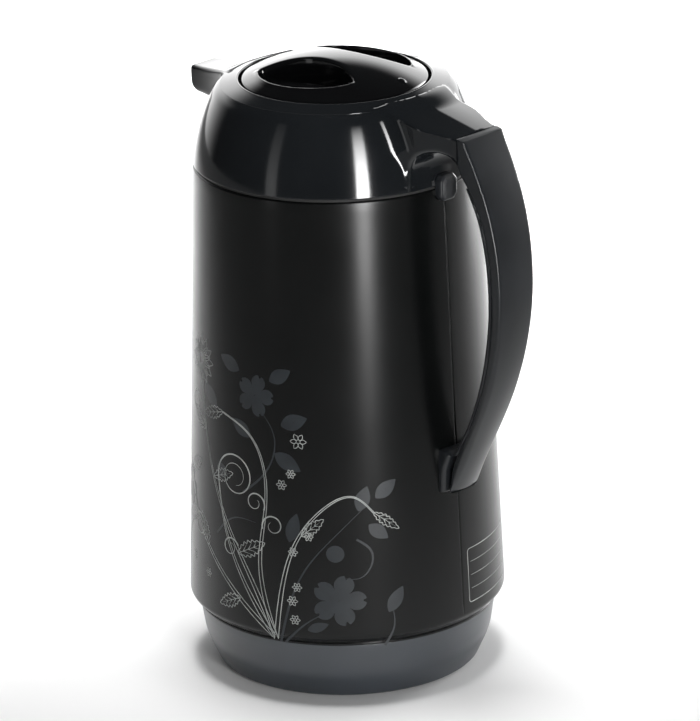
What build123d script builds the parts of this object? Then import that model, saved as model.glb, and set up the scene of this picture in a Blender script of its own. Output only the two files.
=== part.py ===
"""Glass-lined vacuum carafe with a turn-to-pour screw stopper.

Frame: origin on the body's axis in the plane that it stands on, +Z up, +X towards
the handle and -X towards the spout.  All sizes are in millimetres.
"""
from build123d import *
import math
import os

# --- driving dimensions ---------------------------------------------------------
# painted steel body, a cone that narrows upwards
shell_wall = 0.6
shell_low_z = 25.35
shell_wide_z = 29.9
shell_high_z = 212.8
shell_edge_r = 62.4
shell_wide_r = 65.0
shell_high_r = 58.4

# moulded base and its screw-in cap
base_foot_r = 52.75
base_top_r = 61.0
base_bore_r = 46.9
cap_r = 45.4
cap_thread_lead = 10.0

# shoulder moulding (collar) with the spout and the handle bridge
collar_low_z = 213.8
collar_rim_z = 247.6
collar_shoulder_z = 245.2
collar_shoulder_r = 48.0
collar_opening_r = 38.95
collar_wall = 2.5
recess_floor_z = 239.0

# pouring spout
spout_tip_r = 75.0
spout_tip_half = 7.2
spout_root_half = 18.0
spout_root_x = 44.0
spout_low_z = 229.0
spout_tip_z = 240.0
duct_half = 3.1
duct_wall = 1.0
port_low_z = 207.5
port_high_z = 216.5

# handle, drawn in the vertical plane through +X
bridge_end_x = 76.3
bridge_root_angle = 35.0
handle_top = (80.0, 238.0)
handle_top_width = 24.0
handle_low_width = 16.0
handle_wall = 2.2
tongue_low_z = 228.6
tongue_high_z = 235.0
tongue_low_x = 81.0
tongue_high_x = 79.0
tongue_half = 8.0
handle_low_z = 86.0

# throat, stopper and screw thread
throat_seat_z = 206.0
throat_seat_r = 19.5
throat_bore_r = 33.0
throat_thread_r = 35.3
throat_r = 35.2
throat_flange_r = 42.4
throat_flange_z = 236.8
bore_high_z = 226.6
thread_starts = 2
thread_lead = 12.0
thread_arc = 90.0
thread_low_z = 229.7
plug_core_r = 32.5
male_crest_r = 34.8
female_crest_r = 33.3

# lid
lid_r = 38.0
lid_low_z = 240.4
lid_rise = 9.5
lid_wall = 2.2
lid_rest_angle = 10.0
well_floor_z = 244.4

# glass vacuum liner
glass = 1.8
liner_r = 54.0
liner_neck_r = 28.0
liner_low_z = 26.0
liner_high_z = 200.5
vacuum_gap = 4.4
neck_gap = 2.4

# running clearance between the stopper and the pot
clearance = 0.3


# --- drawing helpers ------------------------------------------------------------
def rounded(flat, rounds):
    """Round the corners of a flat outline; rounds is a list of (corner, radius)."""
    for corner, radius in rounds:
        nearest = flat.vertices().sort_by_distance((corner[0], corner[1], 0))[0]
        flat = fillet(nearest, radius)
    return flat


def outline(points, rounds=()):
    """Closed polygon in the sketch plane, with some of its corners rounded."""
    return rounded(make_face(Polyline(*points, close=True)), rounds)


def turned(points, rounds=()):
    """Solid of revolution about Z from a half section of (radius, height) corners."""
    return revolve(Plane.XZ * outline(points, rounds), Axis.Z)


def turned_face(flat):
    """Solid of revolution about Z from a face drawn as (radius, height)."""
    return revolve(Plane.XZ * flat, Axis.Z)


def ring(inner_r, outer_r, low_z, high_z):
    """Plain ring, or a disc where the inner radius is zero."""
    return turned([(inner_r, low_z), (outer_r, low_z), (outer_r, high_z), (inner_r, high_z)])


def side_plate(flat, half_width):
    """Slab from a face drawn in the XZ plane, as wide on each side of it."""
    return extrude(Plane.XZ * flat, amount=half_width, both=True)


def plan_block(flat, low_z, high_z):
    """Upright block from a plan outline."""
    return extrude(Pos(0, 0, low_z) * flat, amount=high_z - low_z)


def rod(radius, low, high):
    """Round rod between two points."""
    start = Vector(*low)
    length = Vector(*high) - start
    return extrude(Plane(origin=start, z_dir=length) * Circle(radius), amount=length.length)


def screw(head_r, head_depth, shank_r, length, place, direction):
    """Pan-head screw: place is under the head, direction points along the shank."""
    way = Vector(*direction).normalized()
    under = Vector(*place)
    head = rod(head_r, tuple(under - way * head_depth), tuple(under))
    rims = head.edges().filter_by(GeomType.CIRCLE)
    head = fillet(rims.sort_by_distance(under - way * head_depth)[0], head_depth * 0.4)
    slot = Plane(origin=under - way * head_depth, z_dir=way) * Box(head_r * 1.3, 0.8, 1.2)
    return head - slot + rod(shank_r, tuple(under), tuple(under + way * length))


def helical_ridges(wall_r, crest_r, low_z, lead, start_angle, root_width, crest_width):
    """The two ridges of a two-start thread, each a trapezoid swept on a helix."""
    path = Helix(pitch=lead, height=lead * thread_arc / 360, radius=wall_r)
    inward = crest_r - wall_r
    sink = -0.3 if inward > 0 else 0.3
    flat = make_face(Polyline(
        (sink, -root_width / 2), (inward, -crest_width / 2),
        (inward, crest_width / 2), (sink, root_width / 2), close=True))
    section = Plane(origin=path @ 0, x_dir=(1, 0, 0), z_dir=path % 0) * flat
    ridge = sweep(section, path=path, is_frenet=True)
    return [Rot(0, 0, start_angle + 360 / thread_starts * start) * Pos(0, 0, low_z) * ridge
            for start in range(thread_starts)]


def body_radius(z):
    """Outer radius of the steel cone at a height."""
    fall = (shell_high_z - z) / (shell_high_z - shell_wide_z)
    return shell_high_r + (shell_wide_r - shell_high_r) * fall


# --- body and base --------------------------------------------------------------
def make_body_shell():
    """Thin steel cone: curled top edge, chamfered and hemmed bottom edge."""
    w = shell_wall
    return turned([
        (shell_edge_r, shell_low_z), (shell_wide_r, shell_wide_z),
        (shell_high_r, shell_high_z), (shell_high_r - 1.8, shell_high_z),
        (shell_high_r - 1.8, shell_high_z - w), (shell_high_r - w, shell_high_z - w),
        (shell_wide_r - w, shell_wide_z), (shell_edge_r - w, shell_low_z + w),
        (shell_edge_r - 2.0, shell_low_z + w), (shell_edge_r - 2.0, shell_low_z)],
        [((shell_wide_r, shell_wide_z), 2.4), ((shell_high_r, shell_high_z), 0.5),
         ((shell_wide_r - w, shell_wide_z), 1.8)]) - rod(1.5, (50, 0, 92.5), (70, 0, 92.5))


def make_base_ring():
    """Moulded base: sloping skirt, flat foot, inner tube for the bottom cap."""
    tube_r = base_bore_r + 2.3
    section = turned([
        (base_bore_r, 0), (base_foot_r, 0), (base_top_r, shell_low_z),
        (60.2, shell_low_z), (60.2, 31.0), (57.8, 31.0), (57.8, 24.0),
        (base_foot_r - 1.8, 3.0), (tube_r, 3.0), (tube_r, 15.0), (base_bore_r, 15.0)],
        [((base_foot_r, 0), 2.4), ((60.2, 31.0), 0.8)])
    for ridge in helical_ridges(base_bore_r, base_bore_r - 1.0, 3.6, cap_thread_lead, 0, 2.0, 1.2):
        section += ridge
    return section


def make_bottom_cap():
    """Screw-in cap under the liner, with a finger bar across its recess."""
    cap = turned([
        (0, 8.5), (cap_r - 2.2, 8.5), (cap_r - 2.2, 1.5), (cap_r, 1.5), (cap_r, 11.0),
        (0, 11.0)], [((cap_r, 1.5), 0.6)])
    cap += Pos(0, 0, 5.5) * fillet(Box(70, 7, 6.2).edges().filter_by(Axis.Z), 3.0)
    for ridge in helical_ridges(cap_r, cap_r + 1.1, 6.1, cap_thread_lead, 0, 2.0, 1.2):
        cap += ridge
    return cap


def make_liner_cushion():
    """Soft cup that carries the bottom of the glass liner."""
    return turned([
        (9, 11), (45, 11), (45, 15.5), (48, 15.5), (48, 31), (44, 31), (39, 28.2),
        (31, liner_low_z), (9, liner_low_z)], [((48, 31), 1.0)])


# --- glass liner ----------------------------------------------------------------
def flask_outline(body_r, neck_r, low_z, high_z, shoulder_z, corner_r):
    """Half section of a bottle: flat bottom, round corners, cylindrical neck."""
    return outline([
        (0, low_z), (body_r, low_z), (body_r, shoulder_z), (neck_r, shoulder_z + 12),
        (neck_r, high_z), (0, high_z)],
        [((body_r, low_z), corner_r), ((body_r, shoulder_z), 14),
         ((neck_r, shoulder_z + 12), 5)])


def make_glass_liner():
    """Double-walled flask: two bottles joined at the mouth, open at the bottom pip."""
    inner_r = liner_r - glass - vacuum_gap
    inner_neck_r = liner_neck_r - glass - neck_gap
    inner_low_z = liner_low_z + glass + vacuum_gap
    lip_z = liner_high_z - 2.4
    outside = flask_outline(liner_r, liner_neck_r, liner_low_z, liner_high_z, 172.0, 28.0)
    gap_outer = flask_outline(liner_r - glass, liner_neck_r - glass, liner_low_z + glass,
                              lip_z, 171.0, 28.0 - glass)
    gap_inner = flask_outline(inner_r, inner_neck_r, inner_low_z, liner_high_z, 167.8, 22.0)
    cavity = flask_outline(inner_r - glass, inner_neck_r - glass, inner_low_z + glass,
                           liner_high_z + 1, 166.8, 22.0 - glass)
    wall = turned_face(outside) - (turned_face(gap_outer) - turned_face(gap_inner))
    wall -= turned_face(cavity)
    return wall - ring(0, 2.5, liner_low_z - 1, liner_low_z + glass + 1)


def make_liner_tip():
    """Sealed pip that closes the hole where the flask was pumped out."""
    return turned([
        (0, liner_low_z + glass), (2.4, liner_low_z + glass), (2.4, liner_low_z),
        (5.0, liner_low_z), (2.6, 21.0), (0, 17.5)], [((2.6, 21.0), 1.5)])


def make_spacer_pads():
    """Three small pads that keep the two bottles apart near the bottom."""
    middle_r = liner_r - glass - vacuum_gap / 2
    pads = [Rot(0, 0, 120 * turn + 30) * Pos(middle_r, 0, 70)
            * Cylinder(4.0, vacuum_gap - 0.9, rotation=(0, 90, 0)) for turn in range(3)]
    return Compound(children=pads)


def make_neck_gasket():
    """Silicone ring over the liner's mouth, under the throat."""
    return turned([
        (21.5, liner_high_z), (liner_neck_r, liner_high_z), (liner_neck_r, 191.0),
        (30.4, 191.0), (30.4, 203.2), (21.5, 203.2)],
        [((30.4, 191.0), 0.8)])


# --- collar, spout and throat ---------------------------------------------------
def collar_outline(inset):
    """Half section of the collar's outer form, or of the space inside its wall."""
    low = (shell_high_r - inset, collar_low_z - (1 if inset else 0))
    middle = (55.3 - inset, 228.5)
    high = (49.3 - inset * 0.9, 243.1 - inset * 0.5)
    shoulder = (collar_shoulder_r - inset, collar_shoulder_z - inset)
    top = (39.7, collar_rim_z) if not inset else (42.6, 243.6)
    wall = ThreePointArc(low, middle, high)
    rest = Polyline(high, shoulder, top, (0, top[1]), (0, low[1]), low)
    return make_face(Wire([wall, *rest.edges()]))


def make_spout_block():
    """Wedge-shaped spout outside: wide at the shoulder, narrow at the tip."""
    plan = outline([
        (-spout_root_x, -spout_root_half), (-spout_tip_r, -spout_tip_half),
        (-spout_tip_r, spout_tip_half), (-spout_root_x, spout_root_half)],
        [((-spout_tip_r, -spout_tip_half), 1.4), ((-spout_tip_r, spout_tip_half), 1.4)])
    top = ThreePointArc((-47.0, 245.4), (-59.0, 242.3), (-spout_tip_r, spout_tip_z))
    rest = Polyline((-spout_tip_r, spout_tip_z), (-spout_tip_r, spout_low_z + 2.5),
                    (-spout_tip_r + 2.5, spout_low_z), (-47.0, spout_low_z), (-47.0, 245.4))
    side = make_face(Wire([top, *rest.edges()]))
    return plan_block(plan, 220, 250) & side_plate(side, 30)


def make_bridge_block():
    """Bridge from the shoulder to the handle, arched underneath, flared in plan."""
    half_end = handle_top_width / 2
    angle = math.radians(bridge_root_angle)
    root = (collar_shoulder_r * math.cos(angle), collar_shoulder_r * math.sin(angle))
    curve = [root, (51.0, 19.3), (61.0, 14.8), (bridge_end_x, half_end)]
    flare = Spline(*curve)
    mirror_flare = Spline(*[(x, -y) for x, y in reversed(curve)])
    end = Line((bridge_end_x, half_end), (bridge_end_x, -half_end))
    back = Line((root[0], -root[1]), root)
    plan = make_face(Wire([*flare.edges(), *end.edges(), *mirror_flare.edges(), *back.edges()]))
    arch = ThreePointArc((bridge_end_x, 226.6), (66.0, 231.4), (55.0, 221.0))
    rest = Polyline((55.0, 221.0), (30.0, 221.0), (30.0, 250.0), (bridge_end_x, 250.0),
                    (bridge_end_x, 226.6))
    over_arch = side_plate(make_face(Wire([*arch.edges(), *rest.edges()])), 30)
    slope = (handle_top[1] - collar_shoulder_z) / (handle_top[0] - collar_shoulder_r)
    under_cone = turned([(0, 200), (90, 200), (90, collar_shoulder_z + slope * 42),
                         (collar_shoulder_r, collar_shoulder_z), (0, collar_shoulder_z)])
    return plan_block(plan, 215, 250) & over_arch & under_cone


def make_collar():
    """Shoulder moulding: domed wall, lid recess, spout outside, handle bridge."""
    solid = turned_face(collar_outline(0)) + make_spout_block() + make_bridge_block()
    hollow = turned_face(collar_outline(collar_wall))
    hollow -= ring(36.3, 42.6, throat_flange_z, 250)
    hollow += ring(0, 36.3, 230, 260) + ring(0, collar_opening_r, recess_floor_z, 260)
    collar = solid - hollow
    collar += turned([(54.7, 206.0), (56.3, 206.0), (56.3, collar_low_z),
                      (57.6, collar_low_z), (56.0, 216.5), (54.7, 214.6)])
    collar -= duct_block(duct_wall + 0.1)
    collar += handle_tongue(0)
    for turn in range(3):
        collar -= Rot(0, 0, 120 * turn + 60) * rod(1.15, (40.8, 0, 236), (40.8, 0, 243.2))
    notch = Pos(shell_high_r, 0, collar_low_z) * Box(6, 10.6, 11.2)
    return collar - notch


def handle_tongue(grow):
    """Wedge on the bridge's end that plugs into the top of the handle."""
    flat = make_face(Polyline(
        (bridge_end_x - 2.0, tongue_low_z), (tongue_low_x, tongue_low_z),
        (tongue_high_x, tongue_high_z), (bridge_end_x - 2.0, tongue_high_z), close=True))
    if grow:
        flat = offset(flat, amount=grow, kind=Kind.INTERSECTION)
    return side_plate(flat, tongue_half + grow)


def duct_block(grow):
    """Bent bar as large as the duct's bore, grown by a wall on every side."""
    flat = make_face(Polyline(
        (-30, port_low_z), (-35, port_low_z), (-52.5, 231.3), (-80, 231.3), (-80, 237.7),
        (-49, 237.7), (-35, port_high_z), (-30, port_high_z), close=True))
    if grow:
        flat = offset(flat, amount=grow, kind=Kind.INTERSECTION)
    return side_plate(flat, duct_half + grow)


def make_spout_duct():
    """Bent rectangular tube that carries the drink from the throat to the tip."""
    duct = duct_block(duct_wall) - duct_block(0)
    duct -= ring(0, throat_r + 0.05, 190, 250)
    return duct - Pos(-spout_tip_r - 9.3, 0, 234) * Box(20, 20, 20)


def make_throat():
    """Inner moulding: liner socket, valve seat, seal bore and female thread."""
    throat = turned([
        (throat_seat_r, throat_seat_z), (throat_bore_r, throat_seat_z),
        (throat_bore_r, bore_high_z), (throat_thread_r, bore_high_z + 1.6),
        (throat_thread_r, throat_flange_z), (throat_flange_r, throat_flange_z),
        (throat_flange_r, throat_flange_z - 2.2), (37.5, throat_flange_z - 2.2),
        (37.5, 227.0), (throat_r, 224.8), (throat_r, 203.2), (32.8, 203.2),
        (32.8, 196.0), (30.5, 196.0), (30.5, 203.2), (throat_seat_r, 203.2)],
        [((throat_seat_r, throat_seat_z), 1.0)])
    high = thread_low_z + thread_lead / thread_starts / 2
    for ridge in helical_ridges(throat_thread_r, female_crest_r, high, thread_lead,
                                lid_rest_angle, 2.2, 1.5):
        throat += ridge
    port = Pos(-34, 0, (port_low_z + port_high_z) / 2)
    throat -= port * Box(8, 2 * duct_half, port_high_z - port_low_z)
    for turn in range(3):
        throat -= Rot(0, 0, 120 * turn + 60) * rod(1.25, (40.8, 0, 230), (40.8, 0, 240))
    return throat


def make_collar_screws():
    """Three screws that hold the throat up under the collar."""
    one = screw(2.2, 1.6, 1.1, 7.6, (40.8, 0, throat_flange_z - 2.25), (0, 0, 1))
    return Compound(children=[Rot(0, 0, 120 * turn + 60) * one for turn in range(3)])


def make_body_packing():
    """Dark packing ring between the steel body and the collar."""
    return ring(56.7, shell_high_r - 0.7, shell_high_z, collar_low_z)


def make_seam_clip():
    """Small clip on the handle side that covers the end of the body's seam."""
    face = make_face(Polyline(
        (-4.9, -3.0), (-2.7, -5.4), (2.7, -5.4), (4.9, -3.0), (4.9, 3.0), (2.7, 5.4),
        (-2.7, 5.4), (-4.9, 3.0), close=True))
    clip = extrude(Plane.YZ * face, amount=4.2)
    clip = fillet(clip.faces().sort_by(Axis.X)[-1].edges(), 0.7)
    clip = Pos(57.2, 0, 213.0) * clip
    return clip - ring(0, 58.75, 200, 220)


# --- handle ---------------------------------------------------------------------
def handle_edges():
    """Outer and inner side curves of the handle, from the bridge to its tip."""
    outer = Spline(handle_top, (90.6, 215.0), (96.4, 187.0), (95.4, 159.0),
                   (89.4, 134.0), (79.8, 112.0), (67.0, handle_low_z))
    inner = Spline((bridge_end_x, 226.6), (84.6, 209.5), (89.3, 188.0), (88.9, 160.0),
                   (83.9, 137.0), (75.6, 116.0), (67.9, 103.0))
    return outer, inner


def handle_side():
    """Side outline of the whole handle."""
    outer, inner = handle_edges()
    foot = Polyline((67.0, handle_low_z), (64.6, handle_low_z), (65.4, 96.0), (67.9, 103.0))
    top = Polyline((bridge_end_x, 226.6), (bridge_end_x, 238.83), handle_top)
    return make_face(Wire([outer, *foot.edges(), inner, *top.edges()]))


def handle_front(inset):
    """Front outline: wide at the bridge, narrower at the lower end."""
    high = handle_top_width / 2 - inset
    low = handle_low_width / 2 - inset
    low_z = handle_low_z - 0.5 + inset * 2
    high_z = 239.5 - inset * 2
    return make_face(Polyline(
        (-low, low_z), (low, low_z), (low + 1.2, 130), (high - 1.4, 190), (high, high_z),
        (-high, high_z), (-high + 1.4, 190), (-low - 1.2, 130), close=True))


def handle_block(flat, inset):
    """Side outline and front outline cut together."""
    front = extrude(Plane.YZ * handle_front(inset), amount=120)
    return side_plate(flat, 20) & front


def handle_split():
    """Side outline of everything on the body's side of the handle's part line."""
    line = Spline((bridge_end_x + 0.2, 222.0), (86.6, 209.5), (91.2, 188.0), (90.8, 160.0),
                  (85.6, 137.0), (77.2, 116.0), (68.6, 101.0))
    rest = Polyline((68.6, 101.0), (60, 96), (60, 222.0), (bridge_end_x + 0.2, 222.0))
    return make_face(Wire([line, *rest.edges()]))


def make_handle_shell():
    """Outer half of the handle, a deep channel that is open towards the body."""
    shell = handle_block(handle_side(), 0) - side_plate(handle_split(), 20)
    core_outer = Spline((85.8, 220.0), (89.9, 207.0), (93.9, 187.0), (92.9, 159.6),
                        (87.2, 135.0), (77.8, 113.4), (70.4, 99.5))
    rest = Polyline((70.4, 99.5), (60.0, 99.5), (60.0, 220.0), (85.8, 220.0))
    core = handle_block(make_face(Wire([core_outer, *rest.edges()])), handle_wall)
    bosses = handle_block(handle_side(), 0) & Pos(69, 0, 90) * Box(20, 20, 19)
    shell = shell - core + (bosses - side_plate(handle_split(), 20))
    shell -= handle_tongue(0.1)
    shell -= rod(1.75, (60, 0, 92.5), (80, 0, 92.5))
    return shell - rod(3.4, (66.95, 0, 92.5), (90, 0, 92.5))


def make_handle_liner():
    """Inner half of the handle, the strip that the fingers close on."""
    strip = handle_block(handle_side(), 0) & side_plate(handle_split(), 20)
    return strip - side_plate(make_face(Polyline(
        (60, 80), (90, 80), (90, 103.0), (60, 103.0), close=True)), 20)


def make_handle_bracket():
    """Saddle block that carries the lower end of the handle on the steel body."""
    side = make_face(Polyline(
        (58, 86.3), (64.5, 86.3), (65.3, 96.0), (67.8, 102.9), (64.2, 103.0), (58, 104.6),
        close=True))
    block = side_plate(side, 10.2)
    block = fillet(block.edges().filter_by(Axis.X), 2.0)
    cone = turned([(0, 70), (body_radius(70) + 0.05, 70), (body_radius(120) + 0.05, 120),
                   (0, 120)])
    block -= cone
    block -= rod(1.35, (55, 0, 92.5), (72, 0, 92.5))
    return block


def make_backing_plate():
    """Curved plate inside the body that the bracket is riveted to."""
    cone = turned([(0, 82), (body_radius(82) - 0.75, 82), (body_radius(106) - 0.75, 106),
                   (0, 106)])
    bore = turned([(0, 80), (body_radius(80) - 2.25, 80), (body_radius(108) - 2.25, 108),
                   (0, 108)])
    plate = (cone - bore) & (Pos(60, 0, 94) * Box(20, 22, 23))
    return plate - rod(1.35, (50, 0, 92.5), (70, 0, 92.5))


# --- stopper --------------------------------------------------------------------
def lid_height(radius):
    """Height of the lid's dome at a radius: a parabola from the rim to the crown."""
    return collar_rim_z + lid_rise * (1 - (radius / lid_r) ** 2)


def lid_dome(inset):
    """Solid under the lid's dome, or the hollow inside its wall."""
    rim_r = lid_r - inset
    crown = (0, collar_rim_z + lid_rise - inset)
    quarter = (rim_r * 0.55, lid_height(lid_r * 0.55) - inset)
    rim = (rim_r, collar_rim_z - 0.4 - inset * 0.3)
    low_z = lid_low_z - (1 if inset else 0)
    arc = Spline(crown, quarter, rim)
    rest = Polyline(rim, (rim_r, low_z), (0, low_z), crown)
    return turned_face(make_face(Wire([arc, *rest.edges()])))


def well_plan(grow):
    """Plan of one finger well: a half moon with rounded corners."""
    inner = ThreePointArc((-22 - grow, -17.5), (1.5, -8.0 + grow), (23.0 + grow, -17.5))
    outer = ThreePointArc((23.0 + grow, -17.5), (0.5, -31.0 - grow), (-22 - grow, -17.5))
    return rounded(make_face(Wire([inner, outer])),
                   [((-22 - grow, -17.5), 2.5), ((23.0 + grow, -17.5), 2.5)])


def make_stopper_cover():
    """Domed lid cap with two finger wells that leave a grip bar between them."""
    outside = lid_dome(0)
    cover = outside - lid_dome(lid_wall)
    for turn in (0, 180):
        place = Rot(0, 0, turn)
        cover += place * (plan_block(well_plan(1.8), lid_low_z + 2.0, 262) & outside)
    for x in (-18, 18):
        cover += (rod(3.4, (x, 0, lid_low_z + 2.0), (x, 0, 262)) & outside)
        cover -= rod(1.55, (x, 0, lid_low_z), (x, 0, 250.0))
    for turn in (0, 180):
        cover -= Rot(0, 0, turn) * plan_block(well_plan(0), well_floor_z, 262)
    mark = Pos(32.3, 0, lid_height(32.3) - 0.6) * Cylinder(1.7, 2.4)
    cover += fillet(mark.edges().sort_by(Axis.Z)[-1], 0.7)
    return cover


def make_stopper_plug():
    """Hollow plug: male thread, seal groove, slim lower end."""
    plug = turned([
        (0, 242.4), (35.5, 242.4), (35.5, lid_low_z), (plug_core_r, lid_low_z),
        (plug_core_r, 221.6), (30.5, 221.6), (30.5, 218.6), (plug_core_r - 0.3, 218.6),
        (plug_core_r - 0.3, 217.4), (27.5, 215.6), (27.5, 212.2), (25.3, 212.2),
        (25.3, 217.0), (28.2, 218.6), (28.2, 238.4), (0, 238.4)])
    for ridge in helical_ridges(plug_core_r, male_crest_r, thread_low_z, thread_lead, 0,
                                2.2, 1.5):
        plug += ridge
    for x in (-18, 18):
        plug -= rod(1.6, (x, 0, 236), (x, 0, 244))
    return plug


def make_stopper_foam():
    """Insulating block inside the plug, notched for the screw heads."""
    foam = turned([(0, 215.4), (25.0, 215.4), (25.0, 217.4), (28.0, 219.0), (28.0, 238.2),
                   (0, 238.2)])
    for x in (-18, 18):
        foam -= rod(3.4, (x, 0, 235.6), (x, 0, 240))
    return foam


def make_stopper_base():
    """Cap that closes the plug from below and carries the valve disc's pivot."""
    base = turned([
        (0, 210.2), (27.4, 210.2), (27.4, 212.15), (25.2, 212.15), (25.2, 215.3),
        (0, 215.3)], [((27.4, 210.2), 0.8)])
    return base - rod(2.2, (0, 0, 209), (0, 0, 214.6))


def make_plug_seal():
    """Silicone ring in the plug's groove, drawn just clear of its bore."""
    return turned([(30.55, 218.65), (32.2, 218.65), (throat_bore_r - clearance, 220.1),
                   (32.2, 221.55), (30.55, 221.55)])


def make_stopper_screws():
    """Two screws that hold the lid cap on the plug."""
    return Compound(children=[
        at_rest(screw(2.9, 1.9, 1.5, 11.0, (x, 0, 238.35), (0, 0, 1))) for x in (-18, 18)])


def make_valve_pivot():
    """Shoulder screw on which the valve disc stays still while the stopper turns."""
    return turned([(0, 205.2), (5.4, 205.2), (5.4, 207.1), (2.7, 207.1), (2.7, 210.15),
                   (2.15, 210.15), (2.15, 214.4), (0, 214.4)], [((5.4, 205.2), 0.8)])


def make_valve_disc():
    """Disc under the stopper that carries the main seal."""
    return turned([(3.1, 207.6), (24.6, 207.6), (24.6, 209.8), (3.1, 209.8)],
                  [((24.6, 209.8), 0.6)])


def make_valve_seal():
    """Main seal, pressed on the seat when the stopper is screwed home."""
    return turned([(20.4, throat_seat_z + 0.1), (24.4, throat_seat_z + 0.1), (24.4, 207.6),
                   (20.4, 207.6)], [((24.4, throat_seat_z + 0.1), 0.5)])


# --- writing --------------------------------------------------------------------
def at_rest(shape):
    """Turn a stopper piece to the angle at which the stopper is screwed home."""
    return Rot(0, 0, lid_rest_angle) * shape


def main():
    """Build every piece and write one STEP file for each."""
    pieces = {
        "body_shell": make_body_shell(),
        "base_ring": make_base_ring(),
        "bottom_cap": make_bottom_cap(),
        "liner_cushion": make_liner_cushion(),
        "glass_liner": make_glass_liner(),
        "liner_tip": make_liner_tip(),
        "liner_spacer_pads": make_spacer_pads(),
        "neck_gasket": make_neck_gasket(),
        "collar": make_collar(),
        "spout_duct": make_spout_duct(),
        "throat": make_throat(),
        "collar_screws": make_collar_screws(),
        "body_packing": make_body_packing(),
        "seam_clip": make_seam_clip(),
        "handle_shell": make_handle_shell(),
        "handle_liner": make_handle_liner(),
        "handle_bracket": make_handle_bracket(),
        "bracket_backing_plate": make_backing_plate(),
        "handle_low_screw": screw(3.1, 1.2, 1.3, 8.6, (67.0, 0, 92.5), (-1, 0, 0)),
        "stopper_cover": at_rest(make_stopper_cover()),
        "stopper_plug": at_rest(make_stopper_plug()),
        "stopper_foam": at_rest(make_stopper_foam()),
        "stopper_base": at_rest(make_stopper_base()),
        "plug_seal": at_rest(make_plug_seal()),
        "stopper_screws": make_stopper_screws(),
        "valve_pivot": at_rest(make_valve_pivot()),
        "valve_disc": make_valve_disc(),
        "valve_seal": make_valve_seal(),
    }
    os.makedirs("parts", exist_ok=True)
    for node, shape in pieces.items():
        export_step(shape, f"parts/{node}.step")


main()
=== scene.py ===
import math

import bmesh
import bpy
import numpy as np
from mathutils import Matrix, Vector


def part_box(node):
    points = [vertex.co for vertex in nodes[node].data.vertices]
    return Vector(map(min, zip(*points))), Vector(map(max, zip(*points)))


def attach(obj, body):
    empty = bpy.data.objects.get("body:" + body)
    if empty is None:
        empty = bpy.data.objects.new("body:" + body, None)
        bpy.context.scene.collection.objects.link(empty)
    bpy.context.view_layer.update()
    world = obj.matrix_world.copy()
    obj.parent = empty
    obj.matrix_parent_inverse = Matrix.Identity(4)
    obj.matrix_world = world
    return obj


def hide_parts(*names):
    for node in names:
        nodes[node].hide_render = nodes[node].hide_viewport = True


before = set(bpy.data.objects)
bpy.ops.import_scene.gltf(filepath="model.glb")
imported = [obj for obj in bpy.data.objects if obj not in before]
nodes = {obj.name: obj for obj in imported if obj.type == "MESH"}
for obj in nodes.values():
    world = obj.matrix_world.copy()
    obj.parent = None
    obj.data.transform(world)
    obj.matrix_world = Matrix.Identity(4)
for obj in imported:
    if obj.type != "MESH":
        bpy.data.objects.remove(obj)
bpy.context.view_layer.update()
mm = 0.001


# ---- mesh helpers: every shape below is worked out in millimetres ----------------

def addPiece(name, points, faces, body, replaced, sharp):
    # an object at the origin whose place is in its mesh; doubles merged, faces outwards
    mesh = bpy.data.meshes.new(name)
    mesh.from_pydata((np.asarray(points) * mm).tolist(), [],
                     faces if isinstance(faces, list) else faces.tolist())
    work = bmesh.new()
    work.from_mesh(mesh)
    bmesh.ops.remove_doubles(work, verts=work.verts, dist=2e-6)
    bmesh.ops.dissolve_degenerate(work, edges=work.edges, dist=1e-7)
    bmesh.ops.recalc_face_normals(work, faces=work.faces)
    work.to_mesh(mesh)
    work.free()
    mesh.polygons.foreach_set("use_smooth", np.ones(len(mesh.polygons), bool))
    mesh.set_sharp_from_angle(angle=math.radians(sharp))
    piece = bpy.data.objects.new(name, mesh)
    bpy.context.scene.collection.objects.link(piece)
    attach(piece, body)
    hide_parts(*replaced)
    return piece


def gridFaces(rows, columns, closeRows=False, closeColumns=False, start=0):
    # quads between the points of a rows x columns grid
    i, j = np.meshgrid(np.arange(rows if closeRows else rows - 1),
                       np.arange(columns if closeColumns else columns - 1), indexing="ij")
    nextI, nextJ = (i + 1) % rows, (j + 1) % columns
    quads = np.stack([i * columns + j, nextI * columns + j,
                      nextI * columns + nextJ, i * columns + nextJ], -1)
    return quads.reshape(-1, 4) + start


def cappedGrid(grid):
    # points and faces of stacked rings, with a fan from a middle point over each end
    rows, columns = grid.shape[:2]
    points = np.concatenate([grid.reshape(-1, 3), [grid[0].mean(0), grid[-1].mean(0)]])
    faces = gridFaces(rows, columns, False, True).tolist()
    for k in range(columns):
        faces.append([rows * columns, k, (k + 1) % columns])
        faces.append([rows * columns + 1, (rows - 1) * columns + (k + 1) % columns,
                      (rows - 1) * columns + k])
    return points, faces


def turnedGrid(profile, angles):
    # x = r cos a, y = r sin a, z = z for each profile point (r, z) and each angle a
    r, z = profile[:, 0], profile[:, 1]
    return np.stack([np.cos(angles)[:, None] * r, np.sin(angles)[:, None] * r,
                     np.ones(len(angles))[:, None] * z], -1)


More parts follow.
